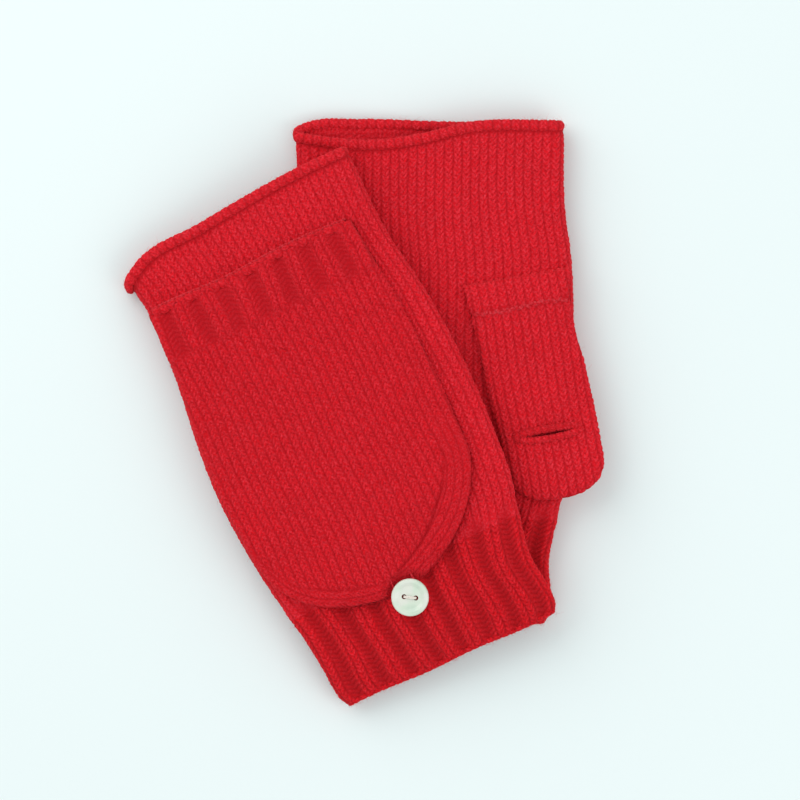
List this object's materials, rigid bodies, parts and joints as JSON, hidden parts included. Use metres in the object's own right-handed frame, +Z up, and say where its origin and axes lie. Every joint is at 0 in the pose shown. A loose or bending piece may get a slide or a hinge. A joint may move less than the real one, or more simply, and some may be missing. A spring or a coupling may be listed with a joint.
{
  "type": "convertible mittens",
  "caption": "Pair of knitted fingerless mittens with fold-back flip-top caps buttoned on the back of the hand, ribbed cuffs and slit thumbs, laid flat one across the other.",
  "frame": {"origin": "bottom centre of the pair as it lies on a table", "axes": "+Z up from the table, +Y towards the finger openings, +X to the side that the right mitten lies on"},
  "size_m": [0.1901, 0.2348, 0.031],
  "materials": {
    "palm_knit": "plain red wool stockinette, soft and slightly fuzzy",
    "cap_knit": "plain red wool stockinette, lightly fulled",
    "rib_knit": "red wool in two by two rib",
    "hem_knit": "rolled edge of red wool stitches",
    "seam_yarn": "row of picked-up red wool stitches",
    "button_shell": "polished mother-of-pearl",
    "cotton_thread": "cream sewing thread"
  },
  "bodies": {
    "right_hand": {"right_back_panel": "palm_knit", "right_palm_panel": "palm_knit", "right_side_folds": "palm_knit", "right_cuff_back": "rib_knit", "right_cuff_palm": "rib_knit", "right_cuff_side_folds": "rib_knit", "right_finger_hem_back": "hem_knit", "right_finger_hem_palm": "hem_knit", "right_cap_hinge_seam": "seam_yarn"},
    "right_cap": {"right_cap_back_layer": "cap_knit", "right_cap_front_layer": "cap_knit", "right_cap_rib_band": "rib_knit", "right_cap_edge_fold": "cap_knit", "right_button_loop": "seam_yarn"},
    "right_button_body": {"right_button": "button_shell", "right_button_thread": "cotton_thread"},
    "right_thumb": {"right_thumb_gusset": "palm_knit", "right_thumb_seam": "seam_yarn", "right_thumb_front": "palm_knit", "right_thumb_back": "palm_knit", "right_thumb_side_folds": "palm_knit", "right_thumb_slit_hem": "hem_knit"},
    "right_thumb_tip": {"right_thumb_tip_front": "palm_knit", "right_thumb_tip_back": "palm_knit", "right_thumb_tip_edge": "palm_knit"},
    "left_hand": {"left_back_panel": "palm_knit", "left_palm_panel": "palm_knit", "left_side_folds": "palm_knit", "left_cuff_back": "rib_knit", "left_cuff_palm": "rib_knit", "left_cuff_side_folds": "rib_knit", "left_finger_hem_back": "hem_knit", "left_finger_hem_palm": "hem_knit", "left_cap_hinge_seam": "seam_yarn"},
    "left_cap": {"left_cap_back_layer": "cap_knit", "left_cap_front_layer": "cap_knit", "left_cap_rib_band": "rib_knit", "left_cap_edge_fold": "cap_knit", "left_button_loop": "seam_yarn"},
    "left_button_body": {"left_button": "button_shell", "left_button_thread": "cotton_thread"},
    "left_thumb": {"left_thumb_gusset": "palm_knit", "left_thumb_seam": "seam_yarn", "left_thumb_front": "palm_knit", "left_thumb_back": "palm_knit", "left_thumb_side_folds": "palm_knit", "left_thumb_slit_hem": "hem_knit"},
    "left_thumb_tip": {"left_thumb_tip_front": "palm_knit", "left_thumb_tip_back": "palm_knit", "left_thumb_tip_edge": "palm_knit"}
  },
  "joints": [
    {"name": "right_cap_flip", "type": "hinge", "parent": "right_hand", "child": "right_cap", "pos_m": [0.0214, 0.0916, 0.00245], "axis": [1, 0, 0], "range_deg": [0, 165], "deforming": ["right_button_loop"]},
    {"name": "right_button_turn", "type": "hinge", "parent": "right_hand", "child": "right_button_body", "pos_m": [0.024, -0.055, 0.0027], "axis": [0, 0, -1], "range_deg": [-25, 25]},
    {"name": "right_thumb_fold", "type": "hinge", "parent": "right_hand", "child": "right_thumb", "pos_m": [0.06075, 0.0536, 0.01491], "axis": [-0.9837, -0.174, -0.045], "range_deg": [0, 140]},
    {"name": "right_thumb_tip_fold", "type": "hinge", "parent": "right_thumb", "child": "right_thumb_tip", "pos_m": [0.07165, -0.00844, 0.01606], "axis": [-0.9837, -0.174, -0.045], "range_deg": [0, 120]},
    {"name": "left_lift", "type": "slide", "parent": "right_hand", "child": "left_hand", "axis": [0, 0, 1], "range_m": [0, 0.3]},
    {"name": "left_cap_flip", "type": "hinge", "parent": "left_hand", "child": "left_cap", "pos_m": [-0.04598, 0.05788, 0.0176], "axis": [-0.8973, -0.4272, -0.111], "range_deg": [0, 165], "deforming": ["left_button_loop"]},
    {"name": "left_button_turn", "type": "hinge", "parent": "left_hand", "child": "left_button_body", "pos_m": [0.01857, -0.07355, 0.02527], "axis": [-0.1219, 0, 0.9925], "range_deg": [-25, 25]},
    {"name": "left_thumb_fold", "type": "hinge", "parent": "left_hand", "child": "left_thumb", "pos_m": [0.00606, 0.0404, 0.01283], "axis": [0.9451, 0.298, 0.134], "range_deg": [0, 150]},
    {"name": "left_thumb_tip_fold", "type": "hinge", "parent": "left_thumb", "child": "left_thumb_tip", "pos_m": [0.0247, -0.01975, 0.01482], "axis": [0.9451, 0.2977, 0.1349], "range_deg": [0, 110]}
  ],
  "couplings": [
    {"joint": "left_thumb_fold", "follows": "left_lift", "rad_per_m": 8.5},
    {"joint": "left_thumb_tip_fold", "follows": "left_lift", "rad_per_m": 6}
  ]
}
